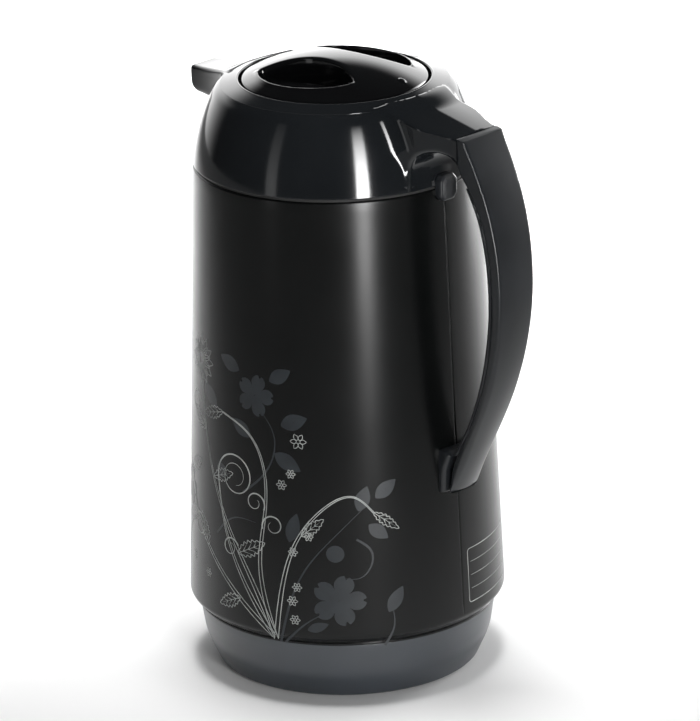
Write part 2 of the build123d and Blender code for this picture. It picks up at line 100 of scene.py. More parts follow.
def roundCorners(corners, radii, step=0.35):
    # closed outline with each corner replaced by an arc that is tangent to both sides
    corners = np.asarray(corners, float)
    parts = []
    for k, radius in enumerate(radii):
        here = corners[k]
        toLast = corners[k - 1] - here
        toNext = corners[(k + 1) % len(corners)] - here
        lastLength, nextLength = np.linalg.norm(toLast), np.linalg.norm(toNext)
        toLast, toNext = toLast / lastLength, toNext / nextLength
        half = math.acos(np.clip(toLast @ toNext, -1, 1)) / 2
        if radius <= 0 or half > math.radians(89.5):
            parts.append(here[None])
            continue
        reach = min(radius / math.tan(half), 0.49 * min(lastLength, nextLength))
        radius = reach * math.tan(half)
        middle = here + (toLast + toNext) / np.linalg.norm(toLast + toNext) * radius / math.sin(half)
        first, last = here + toLast * reach - middle, here + toNext * reach - middle
        turn = math.pi - 2 * half
        count = max(4, int(radius * turn / step))
        share = np.linspace(0, 1, count)[:, None]
        arc = (np.sin((1 - share) * turn) * first + np.sin(share * turn) * last) / math.sin(turn)
        parts.append(middle + arc)
    return np.concatenate(parts)


def densify(outline, step, closed=True):
    # more points on the long straight stretches of an outline
    ends = np.roll(outline, -1, 0) if closed else outline[1:]
    starts = outline if closed else outline[:-1]
    parts = []
    for start, end in zip(starts, ends):
        count = max(1, int(np.linalg.norm(end - start) / step))
        parts.append(start + (end - start) * (np.arange(count) / count)[:, None])
    if not closed:
        parts.append(outline[-1:])
    return np.concatenate(parts)


def smoothStep(x):
    # 0 below 0, 1 above 1, 3x^2 - 2x^3 between
    x = np.clip(x, 0, 1)
    return x * x * (3 - 2 * x)


def smoothMax(a, b, k):
    # the larger of a and b, with the corner between them rounded over a width k
    h = np.clip(0.5 - 0.5 * (b - a) / k, 0, 1)
    return b + (a - b) * h + k * h * (1 - h)


def smoothMin(a, b, k):
    return -smoothMax(-a, -b, k)


# ---- camera, floor and light ------------------------------------------------------

viewShape = {"distance": 2.4975, "pitch": 0.340, "roll": 0.025, "turn": 43.5,
             "targetRight": 0.003257, "targetHeight": 0.12602, "lens": 305.0}


def addCamera(shape):
    # looks at a point a little right of the axis, from the handle's side, 19.5 degrees up
    turn = math.radians(shape["turn"])
    right = Vector((math.cos(turn), math.sin(turn), 0))
    away = Vector((-math.sin(turn), math.cos(turn), 0))
    pitch, roll = shape["pitch"], shape["roll"]
    forward = away * math.cos(pitch) - Vector((0, 0, math.sin(pitch)))
    up = away * math.sin(pitch) + Vector((0, 0, math.cos(pitch)))
    sideways = right * math.cos(roll) - up * math.sin(roll)
    upright = right * math.sin(roll) + up * math.cos(roll)
    target = right * shape["targetRight"] + Vector((0, 0, shape["targetHeight"]))
    place = target - forward * shape["distance"]
    camera = bpy.data.objects.new("camera", bpy.data.cameras.new("camera"))
    bpy.context.scene.collection.objects.link(camera)
    turned = Matrix((sideways, upright, -forward)).transposed().to_4x4()
    camera.matrix_world = Matrix.Translation(place) @ turned
    camera.data.lens = shape["lens"]
    camera.data.sensor_width = 36
    camera.data.clip_end = 20
    bpy.context.scene.camera = camera
    bpy.context.scene.view_settings.view_transform = "Standard"


def linear(hexColour):
    # sRGB hex to linear red, green, blue, alpha
    parts = [int(hexColour[k:k + 2], 16) / 255 for k in (1, 3, 5)]
    return [p / 12.92 if p <= 0.04045 else ((p + 0.055) / 1.055) ** 2.4 for p in parts] + [1]


def addNode(tree, kind, settings=None, **inputs):
    # one node with its settings; each input is a value or another node's output socket
    made = tree.nodes.new(kind)
    for key, value in (settings or {}).items():
        setattr(made, key, value)
    for key, value in inputs.items():
        socket = made.inputs[int(key[1:])] if key[0] == "i" and key[1:].isdigit() else \
            made.inputs[key.replace("_", " ")]
        if isinstance(value, bpy.types.NodeSocket):
            tree.links.new(value, socket)
        else:
            socket.default_value = value
    return made


def addLight(name, place, target, size, power):
    # a soft rectangular lamp that faces the target
    lamp = bpy.data.lights.new(name, "AREA")
    lamp.shape = "RECTANGLE"
    lamp.size, lamp.size_y = size
    lamp.energy = power
    made = bpy.data.objects.new(name, lamp)
    bpy.context.scene.collection.objects.link(made)
    made.location = place
    made.rotation_euler = (Vector(target) - Vector(place)).to_track_quat("-Z", "Y").to_euler()
    return made


def around(azimuth, distance, height):
    # a place round the pot: azimuth in degrees to the right of the camera
    angle = math.radians(viewShape["turn"] - 90 + azimuth)
    return (distance * math.cos(angle), distance * math.sin(angle), height)


# strengths, lamp powers in watts, angles in degrees and lengths in metres
studio = {"cove": 2.9, "room": 0.03, "coveAzimuth": 166, "coveSide": (0.18, 0.85),
          "coveTop": (0.36, 0.60), "overhead": 3.0, "overheadHeight": 1.9, "overheadSize": 1.5,
          "sweep": 20, "sweepAzimuth": 170, "sweepDistance": 1.06, "sweepSize": 1.4,
          "sweepSpread": 42, "pool": 75, "poolHeight": 1.6, "poolCone": 0.50, "poolSoft": 0.25,
          "stripHeight": 0.47, "stripLength": 0.9, "stripSpread": 70}
# name, azimuth, distance, width, power
stripLamps = [("frontStrip", 19, 0.72, 0.12, 1.8), ("leftStrip", -52, 0.90, 0.14, 0.06),
              ("rightSoftbox", 130, 0.66, 0.26, 1.4)]


def addFloor():
    # plain pale paper, a hair under the foot
    bpy.ops.mesh.primitive_circle_add(vertices=96, radius=2.6, fill_type="NGON",
                                      location=(0, 0, -0.0004))
    floor = bpy.context.object
    floor.name = "studioFloor"
    paper = bpy.data.materials.new("palePaper")
    paper.use_nodes = True
    shader = paper.node_tree.nodes["Principled BSDF"]
    shader.inputs["Base Color"].default_value = linear("#f4f4f4")
    shader.inputs["Roughness"].default_value = 0.9
    shader.inputs["Specular IOR Level"].default_value = 0.1
    floor.data.materials.append(paper)


def addRoom():
    # bright cove behind, low down, and a dim room elsewhere: strength = room + (cove - room)
    # times a step that rises towards the back and a step that falls with height
    world = bpy.data.worlds.new("studio")
    world.use_nodes = True
    bpy.context.scene.world = world
    tree = world.node_tree
    ground = tree.nodes["Background"]
    ground.inputs["Color"].default_value = linear("#ffffff")
    back = Vector(around(studio["coveAzimuth"], 1.0, 0.0)).normalized()
    way = addNode(tree, "ShaderNodeTexCoord").outputs["Generated"]
    facing = addNode(tree, "ShaderNodeVectorMath", {"operation": "DOT_PRODUCT"}, i0=way,
                     i1=tuple(back)).outputs["Value"]
    height = addNode(tree, "ShaderNodeSeparateXYZ", Vector=way).outputs["Z"]
    sideLow, sideHigh = studio["coveSide"]
    rise = addNode(tree, "ShaderNodeMapRange", {"interpolation_type": "SMOOTHSTEP"}, Value=facing,
                   From_Min=sideLow, From_Max=sideHigh).outputs["Result"]
    topLow, topHigh = studio["coveTop"]
    fall = addNode(tree, "ShaderNodeMapRange", {"interpolation_type": "SMOOTHSTEP"}, Value=height,
                   From_Min=topLow, From_Max=topHigh, To_Min=1.0, To_Max=0.0).outputs["Result"]
    share = addNode(tree, "ShaderNodeMath", {"operation": "MULTIPLY"}, i0=rise, i1=fall)
    strength = addNode(tree, "ShaderNodeMapRange", Value=share.outputs["Value"],
                       To_Min=studio["room"], To_Max=studio["cove"])
    tree.links.new(strength.outputs["Result"], ground.inputs["Strength"])


def addLamps():
    # three lamps that light the floor and body but aren't mirrored in them, then the strips
    t = studio
    fill = addLight("overheadFill", (0, 0, t["overheadHeight"]), (0, 0, 0.13),
                    (t["overheadSize"], t["overheadSize"]), t["overhead"])
    above, below = [around(t["sweepAzimuth"], t["sweepDistance"], z) for z in (1.4, 0)]
    sweep = addLight("backSweep", above, below, (t["sweepSize"], t["sweepSize"]), t["sweep"])
    sweep.rotation_euler = (0, 0, math.radians(viewShape["turn"]))
    sweep.data.spread = math.radians(t["sweepSpread"])
    pool = bpy.data.objects.new("floorPool", bpy.data.lights.new("floorPool", "SPOT"))
    bpy.context.scene.collection.objects.link(pool)
    pool.location = (0, 0, t["poolHeight"])
    pool.data.energy, pool.data.spot_size, pool.data.spot_blend = t["pool"], t["poolCone"], 0.8
    pool.data.shadow_soft_size = t["poolSoft"]
    fill.visible_glossy = sweep.visible_glossy = pool.visible_glossy = False
    for name, azimuth, distance, width, power in stripLamps:
        strip = addLight(name, around(azimuth, distance, t["stripHeight"]),
                         around(azimuth, 0, t["stripHeight"]), (width, t["stripLength"]), power)
        strip.data.spread = math.radians(t["stripSpread"])


# ---- body ---------------------------------------------------------------------------

shellLow, shellHigh = [np.array(v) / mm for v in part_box("body_shell")]
bodyShape = {"lowZ": shellLow[2], "highZ": shellHigh[2], "wideZ": shellLow[2] + 4.55,
             "wideRadius": 65.0, "topRadius": 58.4, "edgeRadius": 61.5, "wall": 0.6,
             "lipRadius": 60.2, "bead": 0.35, "curl": 1.8, "seamDepth": 0.24, "seamWidth": 0.32,
             "lapHeight": 0.03, "lapWidth": 5.0, "arcRadius": 62.0}


def coneRadius(z):
    # straight cone: radius falls evenly from the widest ring to the top edge
    s = bodyShape
    return s["wideRadius"] + (s["topRadius"] - s["wideRadius"]) * (z - s["wideZ"]) / \
        (s["highZ"] - s["wideZ"])


def addBody():
    # (r, z) outline of the drawn steel cone turned round Z, with a beaded hem below and an
    # inward curl above; at +X r is lowered by depth * exp(-(y / width)^2) for the seam and
    # raised by a lap beside it
    s = bodyShape
    w, low, high = s["wall"], s["lowZ"], s["highZ"]
    bead, curled = s["edgeRadius"] + s["bead"], s["topRadius"] - s["curl"]
    corners = [(s["lipRadius"], low), (bead, low), (bead, low + 1.0),
               (s["edgeRadius"] + 0.05, low + 1.25), (s["wideRadius"], s["wideZ"]),
               (s["topRadius"], high), (curled, high), (curled, high - w),
               (s["topRadius"] - w, high - w), (s["wideRadius"] - w, s["wideZ"]),
               (s["edgeRadius"] - w, low + 1.0), (s["lipRadius"], low + 1.0)]
    outline = roundCorners(corners, [0, 0.45, 0.45, 0.3, 3.0, 1.0, 0, 0, 0, 2.4, 0, 0], 0.15)
    outline = densify(outline, 4.0)
    # angles packed tighter across the seam
    fine = np.concatenate([np.arange(-7, -1.2, 0.4), np.arange(-1.2, 1.2, 0.06),
                           np.arange(1.2, 7, 0.4)]) / s["arcRadius"]
    angles = np.concatenate([fine, np.linspace(fine[-1] + 0.02, 2 * np.pi + fine[0] - 0.02, 300)])
    points = turnedGrid(outline, angles)
    across = np.where(angles > np.pi, angles - 2 * np.pi, angles)[:, None] * s["arcRadius"]
    outer = (np.hypot(points[..., 0], points[..., 1]) > coneRadius(points[..., 2]) - 0.25)
    outer &= (points[..., 2] > s["wideZ"] + 2) & (points[..., 2] < high - 3)
    lap = s["lapHeight"] * smoothStep(across / 0.15) * smoothStep((s["lapWidth"] - across) / 2.5)
    change = (lap - s["seamDepth"] * np.exp(-(across / s["seamWidth"]) ** 2)) * outer
    points[..., 0] += np.cos(angles)[:, None] * change
    points[..., 1] += np.sin(angles)[:, None] * change
    rows, columns = points.shape[:2]
    return addPiece("bodyShell", points.reshape(-1, 3), gridFaces(rows, columns, True, True),
                    "pot", ["body_shell"], 40)


def addTurned(name, corners, radii, body, replaced, segments=256):
    # closed (r, z) outline turned round Z
    outline = densify(roundCorners(corners, radii, 0.2), 3.0)
    angles = np.linspace(0, 2 * np.pi, segments, endpoint=False)
    points = turnedGrid(outline, angles)
    return addPiece(name, points.reshape(-1, 3), gridFaces(segments, len(outline), True, True),
                    body, replaced, 40)


baseShape = {"footRadius": 53.6, "bellyRadius": 58.9, "bellyZ": 11.5, "topRadius": 61.0,
             "highZ": 25.3, "plugRadius": 60.2, "plugBore": 57.8, "plugHigh": 31.0,
             "ceiling": 24.0, "wall": 1.8, "boreRadius": 46.9, "tube": 2.3, "tubeHigh": 15.0,
             "floor": 3.0}


def addBase():
    # bowed skirt with a flat foot, a plug that stands inside the body and the cap's tube
    s = baseShape
    tube, high, plug = s["boreRadius"] + s["tube"], s["highZ"], s["plugRadius"]
    corners = [(s["boreRadius"], 0), (s["footRadius"], 0), (s["bellyRadius"], s["bellyZ"]),
               (s["topRadius"], high - 0.2), (s["topRadius"] - 0.4, high),
               (s["topRadius"] - 0.75, high + 0.04), (plug, high + 0.04), (plug, s["plugHigh"]),
               (s["plugBore"], s["plugHigh"]), (s["plugBore"], s["ceiling"]),
               (s["footRadius"] - s["wall"], s["floor"]), (tube, s["floor"]),
               (tube, s["tubeHigh"]), (s["boreRadius"], s["tubeHigh"])]
    radii = [0.4, 2.8, 30.0, 0.3, 0.1, 0, 0, 0.6, 0.4, 2.0, 1.2, 0.8, 0.5, 0.5]
    return addTurned("baseMoulding", corners, radii, "pot", ["base_ring"])


# ---- collar: wall, spout and bridge as one moulding ---------------------------------

collarShape = {"lowZ": 213.8, "lowRadius": 58.4, "midZ": 228.5, "midRadius": 55.3,
               "highZ": 243.1, "highRadius": 49.3, "shoulderZ": 245.2, "shoulderRadius": 48.0,
               "rimZ": 247.6, "rimRadius": 39.7, "opening": 38.95, "floorZ": 239.0,
               "bridgeEnd": 76.3, "bridgeHalf": 12.0, "bridgeTopX": 80.0, "bridgeTopZ": 238.0,
               "spoutTip": 75.0, "spoutTipHalf": 7.2, "spoutRoot": 47.0, "spoutRootHalf": 17.0,
               "spoutLowZ": 229.0, "spoutTipZ": 240.0, "voxel": 0.62}


def circleThrough(a, b, c):
    # centre and radius of the circle through three points
    (ax, ay), (bx, by), (cx, cy) = a, b, c
    d = 2 * (ax * (by - cy) + bx * (cy - ay) + cx * (ay - by))
    x = ((ax**2 + ay**2) * (by - cy) + (bx**2 + by**2) * (cy - ay) + (cx**2 + cy**2) * (ay - by)) / d
    y = ((ax**2 + ay**2) * (cx - bx) + (bx**2 + by**2) * (ax - cx) + (cx**2 + cy**2) * (bx - ax)) / d
    return x, y, math.hypot(ax - x, ay - y)


def wallRadius(z):
    # the collar's convex wall: a circular arc in the (r, z) plane
    s = collarShape
    x, y, radius = circleThrough((s["lowRadius"], s["lowZ"]), (s["midRadius"], s["midZ"]),
                                 (s["highRadius"], s["highZ"]))
    return x + np.sqrt(np.maximum(radius**2 - (z - y) ** 2, 1.0))


def topHeight(r):
    # the collar's gently sloping top: straight from the lip to the shoulder
    s = collarShape
    slope = (s["shoulderZ"] - s["rimZ"]) / (s["shoulderRadius"] - s["rimRadius"])
    return s["rimZ"] + slope * (r - s["rimRadius"])


def collarField(x, y, z):
    # negative inside, about the distance in millimetres near the surface:
    # (wall and top) joined smoothly with the bridge and the spout, less the mouth
    s = collarShape
    r = np.sqrt(x * x + y * y)
    wall = (r - wallRadius(z)) * 0.95
    top = (z - topHeight(r)) * 0.96
    form = smoothMax(wall, top, 2.6)
    side = np.abs(y)
    # bridge: flared in plan, conical on top, arched underneath
    half = s["bridgeHalf"] + 5.2 * smoothStep((s["bridgeEnd"] - 1 - x) / 17)
    slope = (s["bridgeTopZ"] - s["shoulderZ"]) / (s["bridgeTopX"] - s["shoulderRadius"])
    roof = (z - (s["shoulderZ"] + slope * (r - s["shoulderRadius"]) + 0.55 - side * 0.05)) * 0.975
    cx, cz, radius = circleThrough((s["bridgeEnd"], 226.6), (66.0, 231.4), (55.0, 221.0))
    arch = radius - np.sqrt((x - cx) ** 2 + (z - cz) ** 2)
    arch = np.where((z < cz) & (x < cx), radius - np.abs(x - cx), arch)
    body = smoothMax(side - half, arch, 2.4)
    bridge = smoothMax(smoothMax(body, roof, 0.9), 44.0 - x, 1.0)
    form = smoothMin(form, bridge, 2.6 + 4.2 * smoothStep((z - 222) / 10))
    # spout: wedge in plan, top falling to the tip, flat underneath
    out = -x
    share = (out - s["spoutRoot"]) / (s["spoutTip"] - s["spoutRoot"])
    half = s["spoutRootHalf"] + (s["spoutTipHalf"] - s["spoutRootHalf"]) * share
    half = half - 5.0 * np.clip(share * (1 - share), 0, 1)
    ceiling = s["spoutTipZ"] + 5.0 * np.clip(1 - share, 0, 1.2) ** 1.5
    tip = smoothMax((side - half) * 0.92, z - ceiling, 1.6)
    under = s["spoutLowZ"] - z
    corner = (out - s["spoutTip"]) * 0.7 - (z - s["spoutLowZ"] - 3.0) * 0.7
    tip = smoothMax(smoothMax(tip, under, 2.4), smoothMax(out - s["spoutTip"], corner, 1.5), 1.2)
    tip = np.maximum(tip, 40.0 - out)
    form = smoothMin(form, tip, 1.8)
    mouth = np.maximum(np.maximum(side - 4.2, np.abs(z - 234.5) - 4.3), 50 - out)
    form = smoothMax(form, -mouth, 0.5)
    # cut flat at the bridge's end, hollow inside, cut off under the rim and the low band
    form = np.maximum(form, x - s["bridgeEnd"])
    inner = np.maximum((r - wallRadius(z) + 2.6) * 0.95, z - topHeight(r) + 2.6)
    form = np.maximum(form, -inner)
    return np.maximum(np.maximum(form, 44.5 - r), 215.6 - z)


def implicitMesh(field, low, high, step):
    # surface nets: one point per crossed cell, pulled on to field = 0, quads across crossed edges
    axes = [np.arange(low[k], high[k] + step, step) for k in range(3)]
    x, y, z = np.meshgrid(*axes, indexing="ij")
    value = field(x, y, z)
    inside = value < 0
    count = sum(inside[i:i - 1 or None, j:j - 1 or None, k:k - 1 or None].astype(np.int8)
                for i in (0, 1) for j in (0, 1) for k in (0, 1))
    crossed = (count > 0) & (count < 8)
    index = np.full(crossed.shape, -1, np.int64)
    index[crossed] = np.arange(crossed.sum())
    cells = np.argwhere(crossed)
    points = np.stack([axes[k][cells[:, k]] + step / 2 for k in range(3)], -1)
    start = points.copy()

    def slopeAt(p):
        # central differences over a small step
        e = 0.02
        parts = []
        for k in range(3):
            shift = np.zeros(3)
            shift[k] = e
            parts.append((field(*(p + shift).T) - field(*(p - shift).T)) / (2 * e))
        return np.stack(parts, -1)

    for _ in range(6):
        slope = slopeAt(points)
        length = np.maximum((slope**2).sum(-1), 0.05)
        points -= 0.9 * (field(*points.T) / length)[:, None] * slope
        points = np.clip(points, start - 0.75 * step, start + 0.75 * step)
    quads = []
    for axis in range(3):
        a, b = np.take(inside, range(inside.shape[axis] - 1), axis), \
            np.take(inside, range(1, inside.shape[axis]), axis)
        edges = np.argwhere(a != b)
        rising = a[tuple(edges.T)]
        p, q = [k for k in range(3) if k != axis]
        keep = (edges[:, p] > 0) & (edges[:, q] > 0)
        keep &= (edges[:, p] < inside.shape[p] - 1) & (edges[:, q] < inside.shape[q] - 1)
        edges, rising = edges[keep], rising[keep]
        around4 = []
        for dp, dq in ((0, 0), (-1, 0), (-1, -1), (0, -1)):
            cell = edges.copy()
            cell[:, p] += dp
            cell[:, q] += dq
            around4.append(index[tuple(cell.T)])
        quad = np.stack(around4, -1)
        flip = rising if axis != 1 else ~rising
        quad[flip] = quad[flip][:, ::-1]
        quads.append(quad)
    return points, np.concatenate(quads)


def addCollar():
    # three overlapping closed shells: the blended form, the rim with its recess, the low band
    s = collarShape
    points, quads = implicitMesh(collarField, (-77, -60, 214), (78, 60, 248), s["voxel"])
    rim = [(36.3, 236.8), (42.6, 236.8), (42.6, 242.0), (46.4, 242.0), (46.4, topHeight(46.4) + 0.02),
           (s["rimRadius"] + 0.3, s["rimZ"] + 0.05), (s["rimRadius"] - 0.1, s["rimZ"] + 0.25),
           (s["opening"], s["rimZ"] + 0.1), (s["opening"], s["floorZ"]), (36.3, s["floorZ"])]
    rimRound = [0.3, 0, 0, 0, 0, 0.3, 0.35, 0.35, 0.5, 0.3]
    band = [(54.7, 206.0), (56.3, 206.0), (56.3, s["lowZ"]), (s["lowRadius"] + 0.02, s["lowZ"])]
    zs = np.linspace(s["lowZ"] + 0.6, 217.0, 5)
    band += [(wallRadius(v) + 0.02, v) for v in zs] + [(wallRadius(217.0) - 2.4, 217.0), (54.7, 213.0)]
    bandRound = [0.3, 0.3, 0, 0.45] + [0] * 5 + [0, 0]
    angles = np.linspace(0, 2 * np.pi, 300, endpoint=False)
    allPoints, allFaces, count = [points], [quads], len(points)
    for corners, radii in ((rim, rimRound), (band, bandRound)):
        outline = densify(roundCorners(corners, radii, 0.12), 1.5)
        grid = turnedGrid(outline, angles)
        allPoints.append(grid.reshape(-1, 3))
        allFaces.append(gridFaces(len(angles), len(outline), True, True, count))
        count += len(angles) * len(outline)
    return addPiece("collarMoulding", np.concatenate(allPoints), np.concatenate(allFaces), "pot",
                    ["collar"], 42)


# ---- lid ----------------------------------------------------------------------------

lidShape = {"radius": 38.0, "lowZ": 240.4, "rimZ": 247.6, "rise": 9.5, "turn": 10.0,
            "wellFloor": 244.4, "lipHeight": 0.4, "lipWidth": 0.8, "wallRun": 0.9,
            "innerArc": ((-25, -17.5), (-1.5, -8.0), (20.0, -17.5)),
            "outerArc": ((-25, -17.5), (-2.5, -30.6), (20.0, -17.5)),
            "markRadius": 32.3, "markSize": 1.7}


def lidHeight(r):
    # parabola from the rim to the crown, turned down over the last millimetre
    s = lidShape
    dome = s["rimZ"] + s["rise"] * (1 - (r / s["radius"]) ** 2)
    over = np.clip((r - s["radius"] + 1.0) / 1.0, 0, 1)
    return dome - 1.0 * (1 - np.sqrt(np.maximum(1 - over**2, 0)))


def wellDistance(x, y):
    # distance outside one finger well: the well is where two discs overlap
    s = lidShape
    ax, ay, aRadius = circleThrough(*s["innerArc"])
    bx, by, bRadius = circleThrough(*s["outerArc"])
    inner, outer = np.hypot(x - ax, y - ay) - aRadius, np.hypot(x - bx, y - by) - bRadius
    soft = 2.0 + 2.4 * smoothStep(x / 18)
    return smoothMax(inner, outer, soft) - 0.22 * soft, outer - inner


def alongBar(x, y):
    # plan coordinates along and across the grip bar
    angle = math.radians(lidShape["turn"])
    return x * math.cos(angle) + y * math.sin(angle), y * math.cos(angle) - x * math.sin(angle)


def lidField(x, y):
    # height over a plan point: dome, plus a lip on each well's outer side and a small raised
    # mark, less the well itself
    s = lidShape
    u, v = alongBar(x, y)
    height = lidHeight(np.hypot(x, y))
    near, nearSide = wellDistance(u, v)
    far, farSide = wellDistance(-u, -v)
    away = np.minimum(near, far)
    rimSide = smoothStep(np.where(near < far, nearSide, farSide) / 4.0 + 0.5)
    lip = s["lipHeight"] * np.exp(-((away - 0.45) / s["lipWidth"]) ** 2)
    height = height + lip * rimSide
    height = height - 0.5 * (1 - rimSide) * np.exp(-np.maximum(away, 0) / 0.5)
    depth = smoothStep(-away / s["wallRun"])
    floor = s["wellFloor"] + 0.9 * (1 - smoothStep((-away - s["wallRun"]) / 2.0))
    height = height + (np.minimum(floor, height) - height) * depth
    mark = np.hypot(u - s["markRadius"], v) - s["markSize"]
    return height + 0.5 * smoothStep(-mark / 0.7)


def addLid():
    # polar grid over the whole lid, with its rings packed tighter where a well's edge passes
    s = lidShape
    turns = 720
    angles = np.linspace(0, 2 * np.pi, turns, endpoint=False)
    fine = np.linspace(0.15, s["radius"], 1500)
    plan = fine[None, :] * np.cos(angles)[:, None], fine[None, :] * np.sin(angles)[:, None]
    u, v = alongBar(*plan)
    away = np.minimum(wellDistance(u, v)[0], wellDistance(-u, -v)[0])
    weight = 1 + 6.0 * np.exp(-((away + 0.4) / 1.0) ** 2) + 2.5 * (fine > s["radius"] - 1.6)[None, :]
    kernel = np.ones(21) / 21
    spread = np.array([np.convolve(np.r_[row[-10:], row, row[:10]], kernel, "valid")
                       for row in weight.T]).T
    run = np.cumsum(spread, 1)
    run = (run - run[:, :1]) / (run[:, -1:] - run[:, :1])
    wanted = np.linspace(0, 1, 118)
    radius = np.array([np.interp(wanted, row, fine) for row in run])
    x, y = radius * np.cos(angles)[:, None], radius * np.sin(angles)[:, None]
    top = np.stack([x, y, lidField(x, y)], -1)
    skirt, under = [], 243.0
    for r, z in ((s["radius"], s["rimZ"] - 1.6), (s["radius"], 243.5), (s["radius"], s["lowZ"] + 0.4),
                 (s["radius"] - 0.4, s["lowZ"]), (s["radius"] - 2.2, s["lowZ"]),
                 (s["radius"] - 2.2, under), (0.15, under)):
        skirt.append(np.stack([r * np.cos(angles), r * np.sin(angles), np.full(turns, z)], -1))
    grid = np.concatenate([top, np.stack(skirt, 1)], 1)
    rows, columns = grid.shape[:2]
    quads = gridFaces(rows, columns, True, False)
    points = np.concatenate([grid.reshape(-1, 3),
                             [[0, 0, float(lidField(np.array(0.0), np.array(0.0)))], [0, 0, under]]])
    first = np.arange(rows) * columns
    last = first + columns - 1
    poleTop, poleLow = rows * columns, rows * columns + 1
    fans = [[poleTop, first[k], first[(k + 1) % rows]] for k in range(rows)]
    fans += [[poleLow, last[(k + 1) % rows], last[k]] for k in range(rows)]
    faces = quads.tolist() + [[int(i) for i in fan] for fan in fans]
    return addPiece("lidCap", points, faces, "stopper", ["stopper_cover"], 50)


# ---- handle ---------------------------------------------------------------------------

handleShape = {"outer": [(80.0, 238.0), (90.6, 215.0), (96.4, 187.0), (95.4, 159.0),
                         (89.4, 134.0), (79.8, 112.0), (67.0, 86.0)],
               "inner": [(76.3, 226.6), (84.6, 209.5), (89.3, 188.0), (88.9, 160.0),
                         (83.9, 137.0), (75.6, 116.0), (67.9, 103.0)],
               "topWidth": 24.0, "midWidth": 21.4, "lowWidth": 16.0, "lowZ": 86.0,
               "heelZ": 103.0, "archZ": 226.6, "linerShare": 0.3, "linerLow": 103.3,
               "linerHigh": 219.0, "gap": 0.10}


def curveThrough(points, count=400):
    # natural cubic spline through the points, measured along its chords
    points = np.asarray(points, float)
    t = np.r_[0, np.cumsum(np.hypot(*np.diff(points, axis=0).T))]
    h = np.diff(t)
    n = len(t)
    system, right = np.zeros((n, n)), np.zeros((n, 2))
    system[0, 0] = system[-1, -1] = 1
    for k in range(1, n - 1):
        system[k, k - 1:k + 2] = h[k - 1], 2 * (h[k - 1] + h[k]), h[k]
        right[k] = 6 * ((points[k + 1] - points[k]) / h[k] - (points[k] - points[k - 1]) / h[k - 1])
    bend = np.linalg.solve(system, right)
    s = np.linspace(0, t[-1], count)
    k = np.clip(np.searchsorted(t, s, "right") - 1, 0, n - 2)
    a, b, g = (t[k + 1] - s)[:, None], (s - t[k])[:, None], h[k][:, None]
    return (bend[k] * a**3 + bend[k + 1] * b**3) / (6 * g) + \
        (points[k] / g - bend[k] * g / 6) * a + (points[k + 1] / g - bend[k + 1] * g / 6) * b


def handleSides(z):
    # outer x, inner x and half width of the handle at a height
    s = handleShape
    outer = curveThrough(s["outer"])[::-1]
    inner = curveThrough(s["inner"])[::-1]
    outerX = np.interp(z, outer[:, 1], outer[:, 0])
    innerX = np.interp(z, inner[:, 1], inner[:, 0])
    heel = np.interp(z, [85.0, 96.0, s["heelZ"]], [64.4, 65.3, 67.9])
    innerX = np.where(z < s["heelZ"], heel, innerX)
    innerX = np.where(z > s["archZ"], s["inner"][0][0], innerX)
    width = np.interp(z, [86, 130, 190, 238], [s["lowWidth"], s["lowWidth"] + 2.6,
                                               s["midWidth"], s["topWidth"]])
    return outerX, innerX, width / 2


def barSection(lowX, highX, half, lowRound, highRound, crown, count=96):
    # closed rounded outline in the (x, y) plane; the high side is crowned by crown * (y / half)^2
    depth = highX - lowX
    highRound = min(highRound, depth * 0.49, half * 0.9)
    lowRound = min(lowRound, depth * 0.49, half * 0.9)
    corners = [(lowX, -half), (highX, -half), (highX, half), (lowX, half)]
    outline = roundCorners(corners, [lowRound, highRound, highRound, lowRound], 0.2)
    outline = densify(outline, 0.9)
    run = np.r_[0, np.cumsum(np.hypot(*np.diff(np.r_[outline, outline[:1]], axis=0).T))]
    wanted = np.linspace(0, run[-1], count, endpoint=False)
    loop = np.r_[outline, outline[:1]]
    outline = np.stack([np.interp(wanted, run, loop[:, 0]), np.interp(wanted, run, loop[:, 1])], -1)
    share = np.clip((outline[:, 0] - lowX) / max(depth, 0.1), 0, 1) ** 2
    outline[:, 0] -= crown * (outline[:, 1] / half) ** 2 * share
    return outline


def addBar(name, levels, sectionAt, replaced, lift=None):
    # horizontal sections stacked up the handle, both ends closed over small rounds
    rings = []
    for z, inset in levels:
        outline = sectionAt(z, inset)
        rings.append(np.c_[outline, np.full(len(outline), z)])
    grid = np.array(rings)
    if lift:
        grid[..., 2] += lift(grid)
    points, faces = cappedGrid(grid)
    return addPiece(name, points, faces, "pot", replaced, 40)


def endRounds(lowZ, highZ, lowRound, highRound, step):
    # levels between two ends, with quarter-circle insets at both
    up = [(lowZ + lowRound * (1 - math.sin(a)), lowRound * (1 - math.cos(a)))
          for a in np.linspace(math.pi / 2, 0.1, 6)]
    down = [(highZ - highRound * (1 - math.sin(a)), highRound * (1 - math.cos(a)))
            for a in np.linspace(0.1, math.pi / 2, 6)]
    flat = [(z, 0.0) for z in np.arange(lowZ + lowRound, highZ - highRound, step)]
    return up + flat + [(highZ - highRound, 0.0)] + down


def splitX(z, outerX, innerX):
    # the part line leaves the inner side below the bridge
    share = handleShape["linerShare"] * smoothStep((226.0 - z) / 24)
    return innerX + (outerX - innerX) * share


